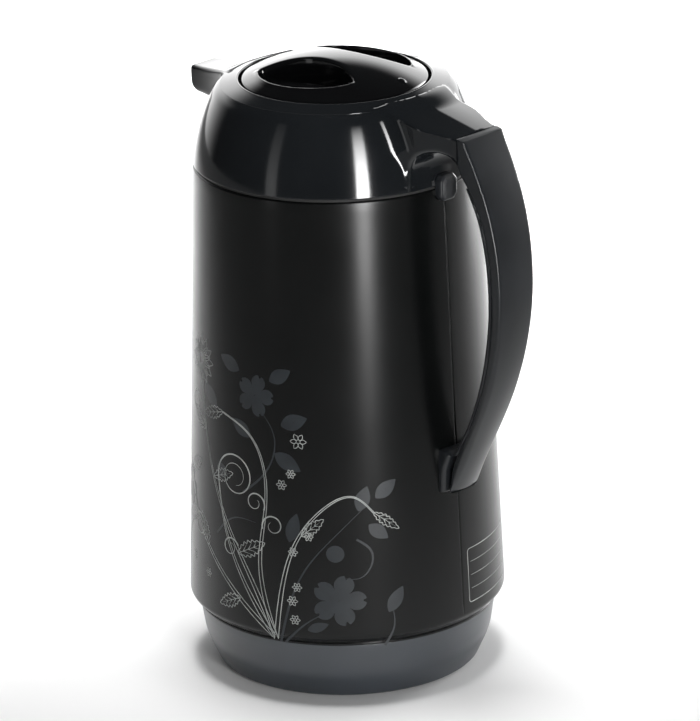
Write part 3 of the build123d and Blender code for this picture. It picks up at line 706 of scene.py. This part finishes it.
def addHandle():
    # outer half: flat crowned face with crisp edges above, rounder towards the lower end;
    # inner half: a liner with a rounded palm side that stops below the bridge
    top = handleShape["linerHigh"]

    def roundness(z):
        return 1 - smoothStep((z - 95) / 85)

    def outerSection(z, inset):
        outerX, innerX, half = handleSides(z)
        soft = roundness(z)
        low = splitX(z, outerX, innerX) + handleShape["gap"] * float(z < top)
        edge = 1.0 + 2.4 * soft
        innerEdge = 0.25 if z < top else 1.2 - 0.9 * float(smoothStep((z - top) / 7))
        return barSection(float(low) + inset, float(outerX) - inset, float(half) - inset,
                          innerEdge, edge, 0.35 + 1.3 * float(soft))

    def innerSection(z, inset):
        outerX, innerX, half = handleSides(z)
        high = splitX(z, outerX, innerX) - handleShape["gap"]
        return barSection(float(innerX) + inset, float(high) - inset, float(half) - 0.05 - inset,
                          1.9, 0.2, 0.0)

    def slopedTop(grid):
        # the end face under the crisp top edge follows the bridge's slope
        rise = 0.225 * (handleShape["outer"][0][0] - grid[..., 0])
        return rise * smoothStep((grid[..., 2] - 228) / 10)

    h = handleShape
    addBar("handleShell", endRounds(h["lowZ"], h["outer"][0][1], 1.4, 0.35, 1.5), outerSection,
           ["handle_shell"], slopedTop)
    addBar("handleInner", endRounds(h["linerLow"], top, 0.4, 0.2, 1.5), innerSection,
           ["handle_liner"])


def addBracket():
    # saddle block: hollowed to the body's radius, narrower and rounder at its top
    def section(z, inset):
        half = 10.2 - 0.06 * max(z - 98, 0) ** 1.5 - inset
        front = float(np.interp(z, [86.3, 96.0, 102.9, 104.4], [64.5, 65.3, 67.7, 65.5])) - inset
        outline = barSection(58.0, front, half, 0.3, 1.8, 0.5)
        back = np.sqrt(np.maximum(coneRadius(z) ** 2 - outline[:, 1] ** 2, 0)) + 0.02
        outline[:, 0] = np.maximum(outline[:, 0], back)
        return outline

    addBar("handleBracket", endRounds(86.3, 104.4, 0.8, 0.6, 0.6), section, ["handle_bracket"])


clipShape = {"half": 4.9, "tall": 5.4, "cut": (2.9, 3.2), "height": 213.0,
             "steps": [(58.1, 0), (60.4, 0.05), (61.0, 0.22), (61.3, 0.6), (61.35, 1.1),
                       (61.2, 1.5), (61.2, 3.5)]}


def addClip():
    # clipped-corner plate standing on the body's seam, its front edge rounded: each step is an
    # x and how far the outline is drawn in there
    s = clipShape
    half, tall, (cutY, cutZ) = s["half"], s["tall"], s["cut"]
    corners = np.array([(-half, -cutZ), (-cutY, -tall), (cutY, -tall), (half, -cutZ),
                        (half, cutZ), (cutY, tall), (-cutY, tall), (-half, cutZ)])
    outline = densify(roundCorners(corners, [0.8] * 8, 0.15), 0.5)
    rings = []
    for x, inset in s["steps"]:
        rings.append(np.c_[np.full(len(outline), x), outline[:, 0] * (1 - inset / half),
                           outline[:, 1] * (1 - inset / tall) + s["height"]])
    points, faces = cappedGrid(np.array(rings))
    return addPiece("seamClip", points, faces, "pot", ["seam_clip"], 40)


# ---- screen print: a generic floral scroll and a blank panel --------------------------

# distances are millimetres: s runs round the body from the front, h is the height
printShape = {"frontAngle": -46.5, "wrapRadius": 62.0, "lift": 0.05, "lineWidth": 0.36,
              "stemGap": 0.85, "fillRings": 10}
# each stem is a smooth curve through a few points, drawn as two lines that draw together
stems = [[(-29, 28), (-39, 49), (-56, 77), (-67, 103), (-72, 128)],
         [(-29, 28), (-36, 60), (-33, 92), (-41, 113), (-56, 119)],
         [(-29, 28), (-24, 60), (-11, 83), (3, 90), (11, 83)],
         [(-30, 29), (-50, 45), (-73, 66), (-91, 92), (-100, 110)],
         [(-30, 29), (-43, 48), (-55, 72), (-59, 92)],
         [(-100, 30), (-103, 52), (-112, 74), (-126, 86)],
         [(-100, 30), (-92, 46), (-88, 60), (-79, 68)]]
# each curl: start s, start h, angle from its middle, first and last radius, turns
curls = [(-59, 92, 188, 10.5, 3.8, -1.75), (-34.0, 82, 330, 5.0, 1.8, 1.2),
         (-34.8, 74, 200, 5.2, 1.8, -1.2),
         (-47, 64, 20, 4.6, 1.8, 1.2), (-74, 118, 10, 5.5, 2.0, 1.2),
         (-126, 86, 40, 8.0, 3.0, 1.6), (-79, 68, 150, 5.5, 2.2, -1.4)]
# base s, base h, heading, length, half width
leaves = [(-47, 61, 28, 15, 4.2), (-56, 119, 196, 15, 3.4),
          (11, 83, 322, 13, 2.6), (-62, 90, 20, 13, 3.4), (-76, 70, 200, 15, 4.2),
          (-66, 59, 118, 14, 3.8), (-86, 86, 30, 15, 4.0), (-69, 108, 150, 14, 3.6),
          (-18, 73, 40, 12, 3.0), (-106, 62, 40, 15, 4.0), (-112, 74, 200, 16, 4.2),
          (-46, 42, 205, 13, 3.6)]
# centre s, centre h, radius, petals
daisies = [(-73.5, 137.0, 10.5, 12), (-101.0, 118.0, 9.0, 10), (-118.0, 104.0, 7.0, 8)]
blossoms = [(-18.6, 113, 3.4), (-22, 99, 2.0), (-26, 94, 2.2), (-15, 73, 1.9), (-21.5, 66, 2.0),
            (-20, 51, 2.0), (-22, 45, 2.2), (-21, 37, 2.1), (-66, 47, 2.0), (-80, 50, 2.2)]
# plain filled shapes in the darker ink
shadowFlowers = [(-3.5, 46.0, 11.0, 5), (-38.0, 130.0, 9.0, 5), (-88.0, 78.0, 9.0, 5)]
shadowDots = [(-4.5, 66.0, 3.6), (-57.0, 94.0, 3.0)]
shadowLeaves = [(-26, 119, 20, 12, 4.0), (-29, 107, 330, 13, 4.0), (-40, 112, 150, 12, 3.6),
                (-46, 139, 160, 12, 3.8), (-31, 137, 30, 11, 3.6), (5, 84, 70, 11, 3.6),
                (12, 89, 40, 11, 3.6), (9, 78, 320, 10, 3.4), (-23, 70, 75, 13, 3.4),
                (16, 40, 60, 12, 3.4), (-16, 33, 20, 9, 2.4), (-60, 120, 140, 13, 4.0)]
shadowStems = [[(-27, 27), (-17, 58), (-4, 74), (8, 86)], [(-25, 27), (-15, 37), (-6, 42)],
               [(-44, 88), (-32, 100), (-29, 114), (-37, 126)], [(4, 72), (10, 66), (6, 56), (-3, 56)],
               [(-60, 66), (-48, 76), (-38, 76)], [(14, 26), (18, 34), (17, 44)]]


def onCone(flat, lift):
    # angle = front + s / radius, distance from the axis = the cone's radius plus the lift
    s, h = flat[..., 0], flat[..., 1]
    angle = np.radians(printShape["frontAngle"]) + s / printShape["wrapRadius"]
    r = coneRadius(h) + lift
    return np.stack([r * np.cos(angle), r * np.sin(angle), h], -1)


def curl(s, h, angle, first, last, turns, count=110):
    # radius eases from first to last while the angle runs through the turns
    t = np.linspace(0, 1, count)
    way = math.radians(angle) + 2 * np.pi * turns * t
    radius = first + (last - first) * t**0.8
    start = np.array([s, h]) - first * np.array([math.cos(way[0]), math.sin(way[0])])
    return start + np.stack([radius * np.cos(way), radius * np.sin(way)], -1)


def lineStrip(path, width, taper=False, closed=False):
    # two edges at half the width to each side of the path
    along = np.roll(path, -1, 0) - np.roll(path, 1, 0) if closed else np.gradient(path, axis=0)
    along /= np.maximum(np.hypot(along[:, 0], along[:, 1]), 1e-9)[:, None]
    side = np.stack([-along[:, 1], along[:, 0]], -1)
    share = np.linspace(0, 1, len(path))
    half = width / 2 * (np.clip(1.15 - share, 0.25, 1) if taper else np.ones(len(path)))
    return np.stack([path - side * half[:, None], path + side * half[:, None]], 1)


def leafEdge(s, h, heading, length, width, waves=0.0, count=64):
    # side = width sin(pi t)^0.8 (1 - t / 3), there and back, with small waves for teeth
    t = np.r_[np.linspace(0, 1, count), np.linspace(1, 0, count)[1:-1]]
    sign = np.r_[np.ones(count), -np.ones(count - 2)]
    side = sign * width * np.sin(np.pi * t) ** 0.8 * (1 - t / 3) * \
        (1 - waves * (1 + np.cos(14 * np.pi * t)))
    c, n = math.cos(math.radians(heading)), math.sin(math.radians(heading))
    return np.stack([s + length * t * c - side * n, h + length * t * n + side * c], -1)


def petalRound(s, h, radius, petals, count=200):
    # distance from the centre = radius (0.45 + 0.55 |cos(n a / 2)|^0.5), less a notch at each tip
    a = np.linspace(0, 2 * np.pi, count, endpoint=False)
    wave = np.abs(np.cos(petals * a / 2))
    notch = 0.13 * np.exp(-((1 - wave) / 0.012) ** 2) if petals else 0.0
    r = radius * (0.45 + 0.55 * wave**0.5 - notch)
    return np.stack([s + r * np.cos(a), h + r * np.sin(a)], -1)


def addInk(name, strips, fills, lift):
    # every strip and filled outline in one mesh that lies just proud of the paint
    points, faces, count = [], [], 0
    fillRings = printShape["fillRings"]
    for strip, closed in strips:
        rows = len(strip)
        points.append(onCone(strip, lift).reshape(-1, 3))
        faces += gridFaces(rows, 2, closed, False, count).tolist()
        count += rows * 2
    for edge in fills:
        rows = len(edge)
        middle = edge.mean(0)
        rings = np.stack([middle + (edge - middle) * f
                          for f in np.linspace(0.02, 1, fillRings)], 1)
        points.append(onCone(rings, lift).reshape(-1, 3))
        faces += gridFaces(rows, fillRings, True, False, count).tolist()
        count += rows * fillRings
    mesh = bpy.data.meshes.new(name)
    mesh.from_pydata((np.concatenate(points) * mm).tolist(), [], faces)
    work = bmesh.new()
    work.from_mesh(mesh)
    for face in work.faces:
        middle = face.calc_center_median()
        if face.normal.x * middle.x + face.normal.y * middle.y < 0:
            face.normal_flip()
    work.to_mesh(mesh)
    work.free()
    mesh.polygons.foreach_set("use_smooth", np.ones(len(mesh.polygons), bool))
    piece = bpy.data.objects.new(name, mesh)
    bpy.context.scene.collection.objects.link(piece)
    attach(piece, "pot")
    return piece


def addPrint():
    width, gap = printShape["lineWidth"], printShape["stemGap"]
    strips = []
    for points in stems:
        edges = lineStrip(curveThrough(points, 120), gap * 2, True)
        strips += [(lineStrip(edges[:, 0], width), False), (lineStrip(edges[:, 1], width), False)]
    strips += [(lineStrip(curl(*values), width * 1.9, True), False) for values in curls]
    for s, h, heading, length, leafWidth in leaves:
        edge = leafEdge(s, h, heading, length, leafWidth, 0.16)
        strips.append((lineStrip(edge, width * 0.9, False, True), True))
        # a midrib and three pairs of side veins: start, turn and reach as shares of the length
        for start, turn, reach in ((0, 0, 0.86), (0.2, 34, 0.3), (0.2, -34, 0.3), (0.4, 34, 0.26),
                                   (0.4, -34, 0.26), (0.6, 34, 0.18), (0.6, -34, 0.18)):
            ahead = np.array([math.cos(math.radians(heading)), math.sin(math.radians(heading))])
            aside = np.array([math.cos(math.radians(heading + turn)),
                              math.sin(math.radians(heading + turn))])
            t = np.linspace(0, reach, 10)[:, None] * length
            vein = np.array([s, h]) + start * length * ahead + t * aside
            strips.append((lineStrip(vein, width * 0.8, True), False))
    for s, h, radius, petals in daisies:
        for layer, size in ((0.0, 1.0), (0.5, 0.72)):
            for turn in np.degrees((np.arange(petals) + layer) * 2 * np.pi / petals):
                c, n = math.cos(math.radians(turn)), math.sin(math.radians(turn))
                petal = leafEdge(s + c * radius * 0.26, h + n * radius * 0.26, turn,
                                 radius * 0.74 * size, radius * 0.17 * size)
                strips.append((lineStrip(petal, width * 0.8, False, True), True))
        strips.append((lineStrip(petalRound(s, h, radius * 0.22, 0), width, False, True), True))
    for s, h, radius in blossoms:
        for turn in np.radians(60.0 * np.arange(6)):
            petal = leafEdge(s + math.cos(turn) * radius * 0.2, h + math.sin(turn) * radius * 0.2,
                             math.degrees(turn), radius * 0.8, radius * 0.3, 0.0, 12)
            strips.append((lineStrip(petal, width * 0.8, False, True), True))
    addInk("silverScroll", strips, [], printShape["lift"])
    fills = [petalRound(*flower) for flower in shadowFlowers]
    fills += [petalRound(*dot, 0) for dot in shadowDots]
    fills += [leafEdge(*leaf, 0.0) for leaf in shadowLeaves]
    dark = [(lineStrip(curveThrough(points, 60), 1.0, True), False) for points in shadowStems]
    addInk("slateScroll", dark, fills, printShape["lift"] * 0.7)


panelShape = {"lowS": 54.0, "highS": 92.0, "lowH": 35.0, "highH": 58.0, "round": 1.2, "line": 0.35,
              "rows": 4}


def addPanel():
    # rounded border with plain ruled rows and nothing written in them
    p = panelShape
    corners = [(p["lowS"], p["lowH"]), (p["highS"], p["lowH"]), (p["highS"], p["highH"]),
               (p["lowS"], p["highH"])]
    border = densify(roundCorners(corners, [p["round"]] * 4, 0.3), 1.0)
    strips = [(lineStrip(border, p["line"], False, True), True)]
    for k in range(1, p["rows"]):
        h = p["lowH"] + (p["highH"] - p["lowH"]) * k / p["rows"]
        row = np.stack([np.linspace(p["lowS"] + 1.6, p["highS"] - 1.6, 40), np.full(40, h)], -1)
        strips.append((lineStrip(row, p["line"] * 0.6), False))
    addInk("blankPanel", strips, [], printShape["lift"])


# ---- finishes -------------------------------------------------------------------------

# colours are sRGB; grain and patch are pattern sizes in millimetres; depth is the height of
# the grain in millimetres; rough is the roughness where the patches are darkest and lightest
finishes = {
    # polished charcoal ABS: dark, clear reflections with a slight moulding haze
    "polishedCharcoalAbs": {"dark": "#111315", "pale": "#141618", "rough": (0.08, 0.12),
                            "grain": 7.0, "depth": 0.004, "patch": 34.0},
    # polished black ABS: deeper black, a mirror-like dome
    "polishedBlackAbs": {"dark": "#060607", "pale": "#08090a", "rough": (0.06, 0.10),
                         "grain": 8.0, "depth": 0.003, "patch": 30.0},
    # satin black enamel on drawn steel: broad soft highlight over faint orange peel
    "satinBlackEnamel": {"dark": "#050606", "pale": "#070808", "rough": (0.22, 0.26),
                         "grain": 0.9, "depth": 0.003, "patch": 40.0, "specular": 0.28},
    # spark-eroded charcoal polypropylene: even satin with a fine grain
    "satinCharcoalPolypropylene": {"dark": "#151719", "pale": "#191b1e", "rough": (0.28, 0.34),
                                   "grain": 0.5, "depth": 0.006, "patch": 25.0,
                                   "specular": 0.4},
    # matte slate polypropylene: blue-grey moulding that turns paler at its edges
    "matteSlatePolypropylene": {"dark": "#2a2f34", "pale": "#2f343a", "rough": (0.28, 0.36),
                                "grain": 0.5, "depth": 0.010, "patch": 30.0,
                                "specular": 0.8},
    # natural polypropylene: milky and slightly uneven
    "naturalPolypropylene": {"dark": "#c9c8bf", "pale": "#d6d5cd", "rough": (0.36, 0.46),
                             "grain": 1.2, "depth": 0.006, "patch": 12.0},
    # moulded silicone: soft, pale and a little tacky looking
    "paleSilicone": {"dark": "#c4c2b8", "pale": "#d1cfc6", "rough": (0.45, 0.60),
                     "grain": 0.8, "depth": 0.005, "patch": 8.0},
    # moulded black rubber: dull with a dusty bloom
    "mouldedBlackRubber": {"dark": "#111111", "pale": "#1b1b1a", "rough": (0.65, 0.80),
                           "grain": 0.7, "depth": 0.015, "patch": 10.0},
    # expanded polystyrene: white beads about 3 mm across
    "beadFoam": {"dark": "#dcdbd4", "pale": "#eeeeea", "rough": (0.75, 0.85),
                 "grain": 3.0, "depth": 0.20, "patch": 3.0},
    # bright zinc plate on steel: fine drawn grain
    "zincPlatedSteel": {"dark": "#a9acae", "pale": "#c2c4c5", "rough": (0.22, 0.34),
                        "grain": 0.4, "depth": 0.003, "patch": 4.0, "metal": 1.0},
    # silvered borosilicate glass: bright mirror behind a clear skin
    "silveredGlass": {"dark": "#c9cdd0", "pale": "#dfe2e4", "rough": (0.04, 0.08),
                      "grain": 14.0, "depth": 0.010, "patch": 40.0, "metal": 0.9},
    # silver screen ink: thin warm grey lines with a faint metallic lift
    "silverScreenInk": {"dark": "#7d817f", "pale": "#a3a6a3", "rough": (0.38, 0.46),
                        "grain": 0.5, "depth": 0.002, "patch": 9.0},
    # slate screen ink: flat shapes only a little lighter than the enamel
    "slateScreenInk": {"dark": "#191d21", "pale": "#1f2428", "rough": (0.34, 0.42),
                       "grain": 0.5, "depth": 0.002, "patch": 9.0}}


def makeFinish(name):
    # patchy colour and roughness from a large noise, a bump from a small one
    finish = finishes[name]
    made = bpy.data.materials.new(name)
    made.use_nodes = True
    tree = made.node_tree
    shader = tree.nodes["Principled BSDF"]
    place = addNode(tree, "ShaderNodeTexCoord").outputs["Object"]
    patch = addNode(tree, "ShaderNodeTexNoise", Vector=place, Scale=1 / (finish["patch"] * mm),
                    Detail=3.0, Roughness=0.55).outputs["Fac"]
    grain = addNode(tree, "ShaderNodeTexNoise", Vector=place, Scale=1 / (finish["grain"] * mm),
                    Detail=2.0, Roughness=0.5).outputs["Fac"]
    ramp = addNode(tree, "ShaderNodeMapRange", Value=patch, From_Min=0.35, From_Max=0.65)
    blend = addNode(tree, "ShaderNodeMix", {"data_type": "RGBA"}, i0=ramp.outputs["Result"],
                    i6=linear(finish["dark"]), i7=linear(finish["pale"]))
    tree.links.new(blend.outputs[2], shader.inputs["Base Color"])
    low, high = finish["rough"]
    rough = addNode(tree, "ShaderNodeMapRange", Value=patch, From_Min=0.3, From_Max=0.7,
                    To_Min=low, To_Max=high)
    tree.links.new(rough.outputs["Result"], shader.inputs["Roughness"])
    bump = addNode(tree, "ShaderNodeBump", Height=grain, Strength=1.0,
                   Distance=finish["depth"] * mm)
    tree.links.new(bump.outputs["Normal"], shader.inputs["Normal"])
    shader.inputs["Metallic"].default_value = finish.get("metal", 0.0)
    shader.inputs["Specular IOR Level"].default_value = finish.get("specular", 0.5)
    return made


# the finish of each node that keeps its CAD shape
nodeFinish = {"bottom_cap": "matteSlatePolypropylene", "liner_cushion": "mouldedBlackRubber",
              "glass_liner": "silveredGlass", "liner_tip": "silveredGlass",
              "liner_spacer_pads": "beadFoam", "neck_gasket": "paleSilicone",
              "spout_duct": "naturalPolypropylene", "throat": "naturalPolypropylene",
              "collar_screws": "zincPlatedSteel", "body_packing": "mouldedBlackRubber",
              "bracket_backing_plate": "zincPlatedSteel", "handle_low_screw": "zincPlatedSteel",
              "stopper_plug": "naturalPolypropylene", "stopper_foam": "beadFoam",
              "stopper_base": "naturalPolypropylene", "plug_seal": "paleSilicone",
              "stopper_screws": "zincPlatedSteel", "valve_pivot": "zincPlatedSteel",
              "valve_disc": "naturalPolypropylene", "valve_seal": "paleSilicone"}
pieceFinish = {"bodyShell": "satinBlackEnamel", "baseMoulding": "matteSlatePolypropylene",
               "collarMoulding": "polishedCharcoalAbs", "lidCap": "polishedBlackAbs",
               "handleShell": "satinCharcoalPolypropylene",
               "handleInner": "satinCharcoalPolypropylene",
               "handleBracket": "satinCharcoalPolypropylene",
               "seamClip": "satinCharcoalPolypropylene",
               "silverScroll": "silverScreenInk", "slateScroll": "slateScreenInk",
               "blankPanel": "silverScreenInk"}


def paintEverything():
    made = {name: makeFinish(name) for name in finishes}
    for node, finish in nodeFinish.items():
        piece = nodes[node]
        if not piece.material_slots:
            piece.data.materials.append(made[finish])
        for slot in piece.material_slots:
            slot.material = made[finish]
    for name, finish in pieceFinish.items():
        piece = bpy.data.objects[name]
        piece.data.materials.clear()
        piece.data.materials.append(made[finish])


# ---- building -------------------------------------------------------------------------

addCamera(viewShape)
addFloor()
addRoom()
addLamps()
print("stage ready")
addBody()
addBase()
print("body ready")
addCollar()
print("collar ready")
addLid()
print("lid ready")
addHandle()
addBracket()
addClip()
print("handle ready")
addPrint()
addPanel()
print("print ready")
paintEverything()
print("finishes ready")
